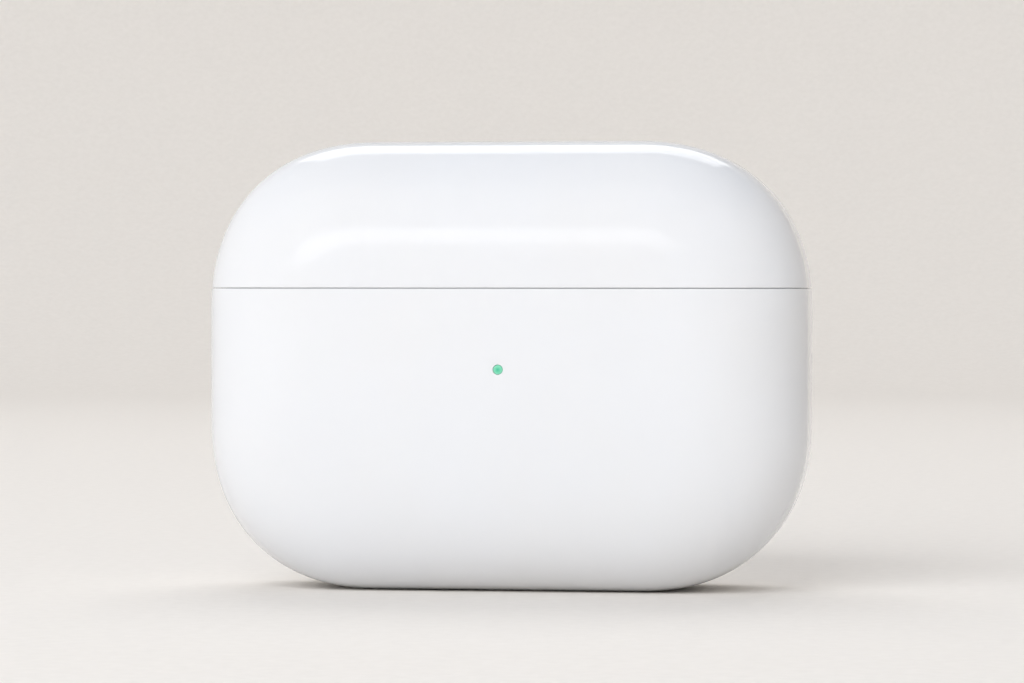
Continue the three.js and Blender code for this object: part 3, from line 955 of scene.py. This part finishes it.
def glowing(name, core, rim, strength):
    """Clear plastic lit from behind: deep green core, paler rim."""
    paint = Paint(name, rim, 0.15)
    centred = paint.vector_math("SUBTRACT", paint.position, (0, 0, LIGHT_Z * MM))
    in_plane = paint.vector_math("MULTIPLY", centred.outputs["Vector"], (1, 0, 1))
    distance = paint.vector_math("LENGTH", in_plane.outputs["Vector"])
    edge = paint.ranged(distance.outputs["Value"], 0, 1, start=0, end=LIGHT_RADIUS * MM)
    color = paint.blend(edge, core, rim)
    paint.feed(color, "Base Color")
    paint.feed(color, "Emission Color")
    flicker = paint.ranged(paint.noise(size=0.2), strength * 0.92, strength * 1.08)
    paint.feed(flicker, "Emission Strength")
    return paint.material


def circuit_board():
    """Solder mask with rows of paler copper tracks under it."""
    mask, track = (0.012, 0.10, 0.045), (0.02, 0.17, 0.075)
    paint = Paint("circuit_board_paint", mask, 0.35)
    waves = paint.nodes.new("ShaderNodeTexWave")
    waves.inputs["Scale"].default_value = 1 / (1.6 * MM)
    waves.inputs["Distortion"].default_value = 3.0
    paint.links.new(paint.position, waves.inputs["Vector"])
    tracks = paint.ranged(waves.outputs["Fac"], 0, 1, start=0.45, end=0.55)
    paint.feed(paint.blend(tracks, mask, track), "Base Color")
    paint.bump(tracks, 0.02)
    return paint.material


def wound_copper():
    """Enamelled wire, laid in turns round the racetrack."""
    paint = Paint("wound_copper_paint", (0.72, 0.31, 0.14), 0.3, 1.0)
    waves = paint.nodes.new("ShaderNodeTexWave")
    waves.wave_type = "RINGS"
    waves.rings_direction = "Y"
    waves.inputs["Scale"].default_value = 1 / (1.3 * MM)
    centred = paint.nodes.new("ShaderNodeMapping")
    centred.inputs["Location"].default_value = (0, 0, -BUTTON_Z * MM)
    paint.links.new(paint.position, centred.inputs["Vector"])
    paint.links.new(centred.outputs["Vector"], waves.inputs["Vector"])
    paint.feed(paint.blend(waves.outputs["Fac"], (0.4, 0.14, 0.06), (0.8, 0.36, 0.17)), "Base Color")
    paint.bump(waves.outputs["Fac"], 0.05)
    return paint.material


def speckled(name, color, roughness, size, relief):
    """Dull pressed material, such as foil wrap, ferrite or ribbon film."""
    paint = Paint(name, color, roughness)
    grain = paint.noise(size, detail=4)
    paint.feed(paint.blend(paint.ranged(grain, 0, 1), color, scaled(color, 1.35)), "Base Color")
    paint.feed(paint.ranged(grain, roughness * 0.8, min(1, roughness * 1.2)), "Roughness")
    paint.bump(grain, relief)
    return paint.material


SHELL_WHITE = moulded_white("shell_white_paint", (0.77, 0.782, 0.808), roughness=0.11, peel=0.004)
LINER_WHITE = moulded_white("liner_white_paint", (0.76, 0.776, 0.8), roughness=0.22, peel=0.006)
HINGE_STEEL = polished_steel("hinge_steel_paint", (0.72, 0.73, 0.74), roughness=0.2)
PORT_STEEL = polished_steel("port_steel_paint", (0.62, 0.63, 0.64), roughness=0.28)
CONTACT_GOLD = plated("contact_gold_paint", (0.85, 0.62, 0.26), roughness=0.2)
MAGNET_NICKEL = plated("magnet_nickel_paint", (0.66, 0.65, 0.62), roughness=0.25)
BLACK_PLASTIC = moulded_dark("black_plastic_paint", (0.02, 0.02, 0.022))
LIT_GREEN = glowing(
    "lit_green_paint", core=(0.02, 0.36, 0.19), rim=(0.17, 0.5, 0.35), strength=0.42
)
BOARD_GREEN = circuit_board()
COIL_COPPER = wound_copper()
CELL_WRAP = speckled(
    "cell_wrap_paint", (0.09, 0.1, 0.12), roughness=0.4, size=1.5, relief=0.03
)
FERRITE_GREY = speckled(
    "ferrite_paint", (0.05, 0.047, 0.047), roughness=0.75, size=0.3, relief=0.01
)
RIBBON_AMBER = speckled(
    "ribbon_paint", (0.5, 0.22, 0.05), roughness=0.4, size=0.8, relief=0.01
)

# ---------------------------------------------------------------- pieces in place


def put(thing, node, material):
    """Finishes a piece that stands for a CAD node and rides on that node's body."""
    soften(thing)
    cover(thing, material)
    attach(thing, body_of(frame["nodes"][node])[0])
    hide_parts(node)
    return thing


put(base_shell(), "base_shell", SHELL_WHITE)
put(lid_shell(), "lid_shell", SHELL_WHITE)
put(cradle(), "cradle_insert", LINER_WHITE)
put(lid_lining(), "lid_liner", LINER_WHITE)
lower_leaf = hinge_leaf("hinge_lower_leaf", "hinge_base_leaf", -1, (0, 2, 4))
upper_leaf = hinge_leaf("hinge_upper_leaf", "hinge_lid_leaf", 1, (1, 3))
put(lower_leaf, "hinge_base_leaf", HINGE_STEEL)
put(upper_leaf, "hinge_lid_leaf", HINGE_STEEL)
put(hinge_pin(), "hinge_pin", HINGE_STEEL)
put(setup_button(), "setup_button", SHELL_WHITE)
put(light_pipe(), "led_light_pipe", LIT_GREEN)
put(port_trim(), "port_trim_ring", PORT_STEEL)
put(port_can(), "port_shell", PORT_STEEL)
put(tongue(), "port_tongue", BLACK_PLASTIC)

gold_strips = cover(soften(tongue_contacts()), CONTACT_GOLD)
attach(gold_strips, "base")

# Hidden parts keep their CAD shape.
kept = {
    "button_switch": BLACK_PLASTIC,
    "hall_sensor": BLACK_PLASTIC,
    "control_chip": BLACK_PLASTIC,
    "charging_chip": BLACK_PLASTIC,
    "status_led": LIT_GREEN,
    "front_board": BOARD_GREEN,
    "main_board": BOARD_GREEN,
    "front_ribbon": RIBBON_AMBER,
    "battery": CELL_WRAP,
    "charge_coil": COIL_COPPER,
    "coil_ferrite": FERRITE_GREY,
}
for side_name in ("left", "right"):
    for number in (1, 2):
        node_name = f"contact_pin_{side_name}_{number}"
        pin = contact_pin(f"charging_pin_{side_name}_{number}", node_name)
        put(pin, node_name, CONTACT_GOLD)
    kept[f"contact_block_{side_name}"] = BLACK_PLASTIC
    for holder in ("bud", "base", "lid"):
        kept[f"{holder}_magnet_{side_name}"] = MAGNET_NICKEL

for node_name, material in kept.items():
    cover(frame["nodes"][node_name], material)

# ---------------------------------------------------------------- studio

FLOOR_RADIUS = 620.0    # flat part of the sweep, in millimetres
SWEEP_RADIUS = 260.0
SWEEP_TOP = 900.0
SWEEP_SIDES = 96
PAPER = (0.86, 0.82, 0.77)
PAPER_FIBRES = (0.89, 0.85, 0.8)


def studio_sweep():
    """Pale round floor that curves up into a wall on every side."""
    profile = [(radius, 0) for radius in (0.5, 120, 400)]
    for angle in quarter_turn(16):
        profile.append((FLOOR_RADIUS + SWEEP_RADIUS * math.sin(angle), come_in(SWEEP_RADIUS, angle)))
    profile.append((FLOOR_RADIUS + SWEEP_RADIUS, SWEEP_TOP))
    vertices = []
    faces = []
    for radius, z in profile:
        for i in range(SWEEP_SIDES):
            angle = 2 * math.pi * i / SWEEP_SIDES
            vertices.append((radius * math.cos(angle), radius * math.sin(angle), z))
    for level in range(len(profile) - 1):
        start = level * SWEEP_SIDES
        for i in range(SWEEP_SIDES):
            a, b = start + i, start + (i + 1) % SWEEP_SIDES
            faces.append((a, b, b + SWEEP_SIDES, a + SWEEP_SIDES))
    faces.append(tuple(range(SWEEP_SIDES)))
    sweep = make_object("studio_sweep", vertices, faces)
    sweep.data.polygons.foreach_set("use_smooth", [True] * len(sweep.data.polygons))
    paint = Paint("studio_paper_paint", PAPER, 0.9)
    fibre = paint.noise(size=1.5, detail=4)
    paint.feed(paint.blend(paint.ranged(fibre, 0, 1), PAPER, PAPER_FIBRES), "Base Color")
    paint.bump(fibre, 0.03)
    cover(sweep, paint.material)


def soft_light(name, place, size, power, color=(1, 1, 1), mirrored=True):
    """Rectangular softbox at a place in metres, turned to the middle of the case."""
    data = bpy.data.lights.new(name, "AREA")
    data.shape = "RECTANGLE"
    data.size, data.size_y = size
    data.energy = power
    data.color = color
    light = bpy.data.objects.new(name, data)
    light.visible_glossy = mirrored
    light.location = place
    aim = Vector((0, 0, HEIGHT / 2 * MM)) - Vector(place)
    light.rotation_euler = aim.to_track_quat("-Z", "Y").to_euler()
    bpy.context.scene.collection.objects.link(light)


def surroundings():
    """Cool fill from the room, a large key to the upper left, and boxes that gleam in the lid."""
    bpy.context.scene.view_settings.view_transform = "Standard"
    world = bpy.data.worlds.new("studio_air")
    world.use_nodes = True
    back = world.node_tree.nodes["Background"]
    back.inputs["Color"].default_value = (0.72, 0.82, 1.0, 1)
    back.inputs["Strength"].default_value = 0.27
    bpy.context.scene.world = world
    soft_light(
        "key_softbox",
        place=(-0.31, -0.72, 0.41),
        size=(0.8, 0.8),
        power=7.8,
        color=(0.92, 0.955, 1.0),
        mirrored=False,
    )
    soft_light("band_softbox", place=(-0.15, -0.71, 0.15), size=(0.3, 0.1), power=0.16)
    soft_light("top_softbox", place=(-0.05, 0.42, 0.72), size=(0.7, 0.45), power=2.45)


LENS = 135.0            # focal length and sensor width, in millimetres
SENSOR = 36.0
VIEW_WIDTH = 104.0      # width of what the camera sees at the case, in millimetres
VIEW_AZIMUTH = math.radians(7.5)
VIEW_ELEVATION = math.radians(1.0)
VIEW_HEIGHT = 25.0      # of the point looked at, in millimetres


def main_camera():
    """Long lens, straight at the front face and a little to its right."""
    data = bpy.data.cameras.new("main_camera")
    data.lens = LENS
    data.sensor_width = SENSOR
    camera = bpy.data.objects.new("main_camera", data)
    distance = VIEW_WIDTH * MM * LENS / SENSOR
    across = math.cos(VIEW_ELEVATION)
    back = Vector((
        math.sin(VIEW_AZIMUTH) * across,
        -math.cos(VIEW_AZIMUTH) * across,
        math.sin(VIEW_ELEVATION),
    ))
    target = Vector((0, 0, VIEW_HEIGHT * MM))
    camera.location = target + back * distance
    camera.rotation_euler = (-back).to_track_quat("-Z", "Y").to_euler()
    bpy.context.scene.collection.objects.link(camera)
    bpy.context.scene.camera = camera


studio_sweep()
surroundings()
main_camera()
